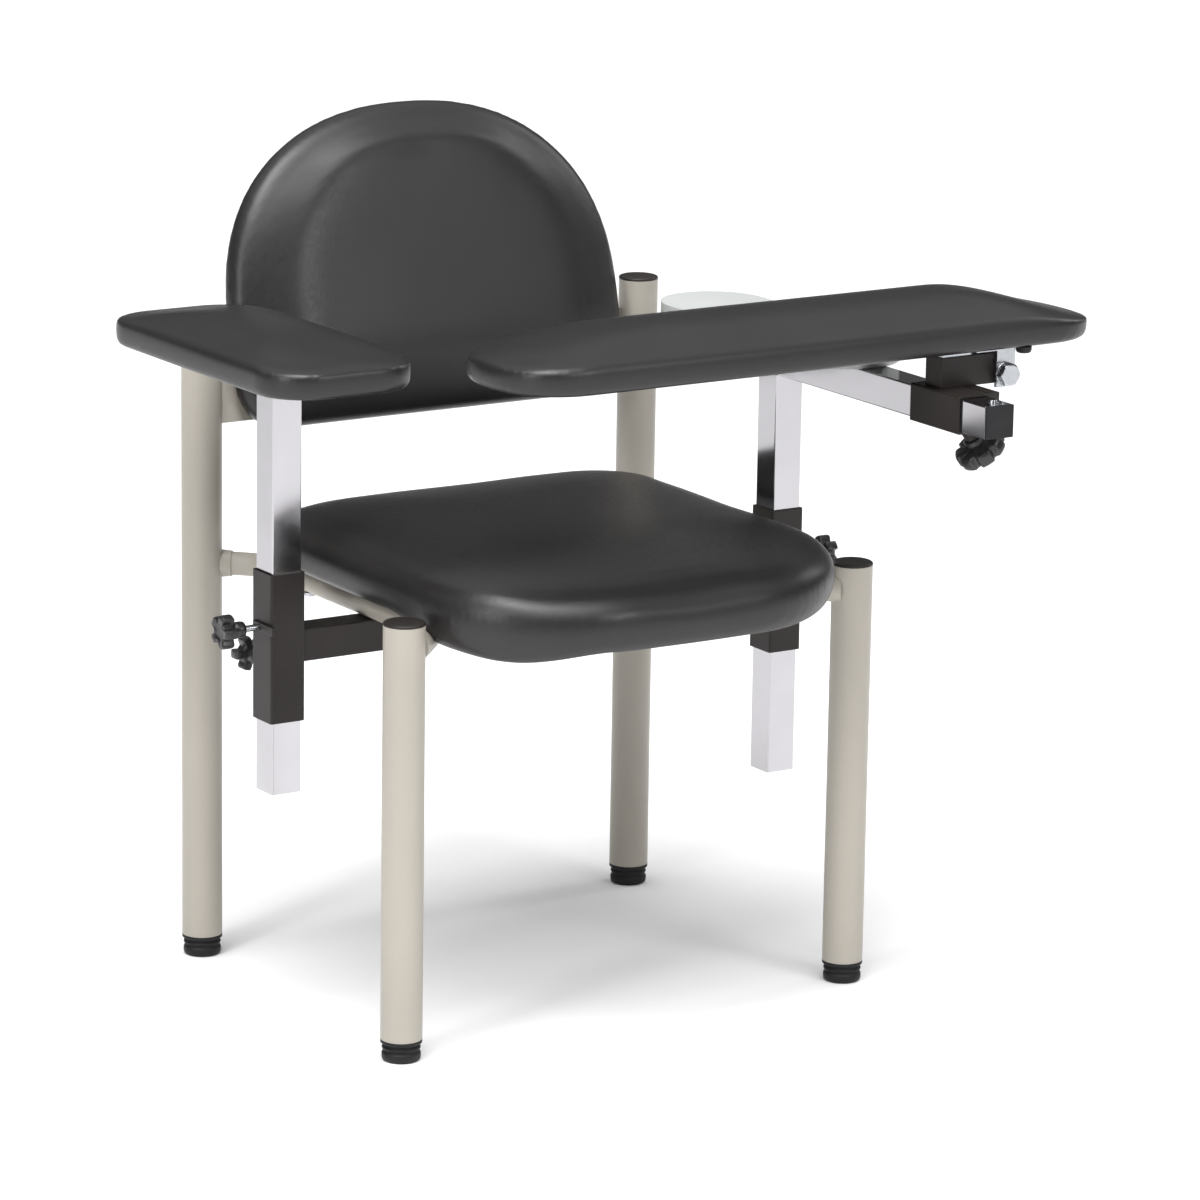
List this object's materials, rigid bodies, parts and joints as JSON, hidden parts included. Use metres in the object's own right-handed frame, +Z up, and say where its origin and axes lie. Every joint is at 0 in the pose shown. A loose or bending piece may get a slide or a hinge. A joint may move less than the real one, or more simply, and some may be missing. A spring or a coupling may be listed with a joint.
{
  "type": "phlebotomy_chair",
  "caption": "Blood-draw chair with round steel legs, padded black seat and round-topped back, height-adjustable padded armrest and a long padded flip-up arm on a sliding hinge.",
  "frame": {"origin": "on the floor, midway between the four legs", "axes": "+X to the right of someone who faces the chair, -Y towards that person, +Z up"},
  "size_m": [0.8165, 0.6194, 0.8006],
  "materials": {
    "frame_paint": "satin light greige powder coat",
    "dark_paint": "dark brown-grey powder coat",
    "black_rubber": "matte black rubber",
    "chromed_tube": "polished chrome plate",
    "plated_steel": "bright zinc plate",
    "black_vinyl": "soft satin black vinyl upholstery",
    "knob_plastic": "black moulded plastic",
    "plate_laminate": "pale laminate"
  },
  "bodies": {
    "frame": {"leg_front_left": "frame_paint", "leg_front_right": "frame_paint", "leg_rear_left": "frame_paint", "leg_rear_right": "frame_paint", "leg_caps": "dark_paint", "glide_front_left": "black_rubber", "glide_front_right": "black_rubber", "glide_rear_left": "black_rubber", "glide_rear_right": "black_rubber", "side_rail_left": "frame_paint", "side_rail_right": "frame_paint", "cross_rail_front": "frame_paint", "cross_rail_rear": "frame_paint", "cross_tube": "dark_paint", "sleeve_left": "dark_paint", "sleeve_right": "dark_paint", "sleeve_nuts": "dark_paint", "seat_board": "black_vinyl", "seat_cushion": "black_vinyl", "seat_screws": "plated_steel", "back_board": "black_vinyl", "back_cushion": "black_vinyl", "back_brackets": "frame_paint", "back_bolts": "plated_steel"},
    "left_arm": {"left_upright": "chromed_tube", "left_pad_plate": "dark_paint", "left_pad_board": "black_vinyl", "left_pad_cushion": "black_vinyl", "left_pad_screws": "plated_steel"},
    "right_arm": {"right_upright": "chromed_tube", "arm_tube": "chromed_tube", "arm_tube_plugs": "black_rubber", "side_plate": "plate_laminate", "side_plate_screws": "plated_steel", "stop_screw": "plated_steel"},
    "slider": {"slider_sleeve": "dark_paint", "slider_nut": "dark_paint", "hinge_box": "dark_paint", "hinge_gusset": "dark_paint"},
    "flip_arm": {"flip_board": "black_vinyl", "flip_cushion": "black_vinyl", "flip_bracket": "plated_steel", "flip_rest_strip": "plated_steel", "hinge_bolt": "plated_steel", "hinge_nut": "plated_steel", "flip_screws": "plated_steel", "flip_bumper": "black_rubber"},
    "left_side_knob": {"knob_left_side": "knob_plastic", "stud_left_side": "plated_steel"},
    "left_rear_knob": {"knob_left_rear": "knob_plastic", "stud_left_rear": "plated_steel"},
    "right_side_knob": {"knob_right_side": "knob_plastic", "stud_right_side": "plated_steel"},
    "right_rear_knob": {"knob_right_rear": "knob_plastic", "stud_right_rear": "plated_steel"},
    "slider_knob": {"knob_slider": "knob_plastic", "stud_slider": "plated_steel"}
  },
  "joints": [
    {"name": "left_arm_height", "type": "slide", "parent": "frame", "child": "left_arm", "axis": [0, 0, 1], "range_m": [-0.08, 0.06]},
    {"name": "right_arm_height", "type": "slide", "parent": "frame", "child": "right_arm", "axis": [0, 0, 1], "range_m": [-0.08, 0.06]},
    {"name": "slider_slide", "type": "slide", "parent": "right_arm", "child": "slider", "axis": [0, 1, 0], "range_m": [-0.02, 0.068]},
    {"name": "flip_hinge", "type": "hinge", "parent": "slider", "child": "flip_arm", "pos_m": [0.3215, -0.2865, 0.595], "axis": [0, 1, 0], "range_deg": [0, 90]},
    {"name": "left_side_knob_turn", "type": "hinge", "parent": "frame", "child": "left_side_knob", "pos_m": [-0.2965, -0.028, 0.3725], "axis": [-1, 0, 0], "continuous": true},
    {"name": "left_rear_knob_turn", "type": "hinge", "parent": "frame", "child": "left_rear_knob", "pos_m": [-0.279, -0.0105, 0.334], "axis": [0, 1, 0], "continuous": true},
    {"name": "right_side_knob_turn", "type": "hinge", "parent": "frame", "child": "right_side_knob", "pos_m": [0.2815, -0.028, 0.3725], "axis": [1, 0, 0], "continuous": true},
    {"name": "right_rear_knob_turn", "type": "hinge", "parent": "frame", "child": "right_rear_knob", "pos_m": [0.264, -0.0105, 0.334], "axis": [0, 1, 0], "continuous": true},
    {"name": "slider_knob_turn", "type": "hinge", "parent": "slider", "child": "slider_knob", "pos_m": [0.266, -0.326, 0.5515], "axis": [0.6157, 0, -0.788], "continuous": true}
  ]
}
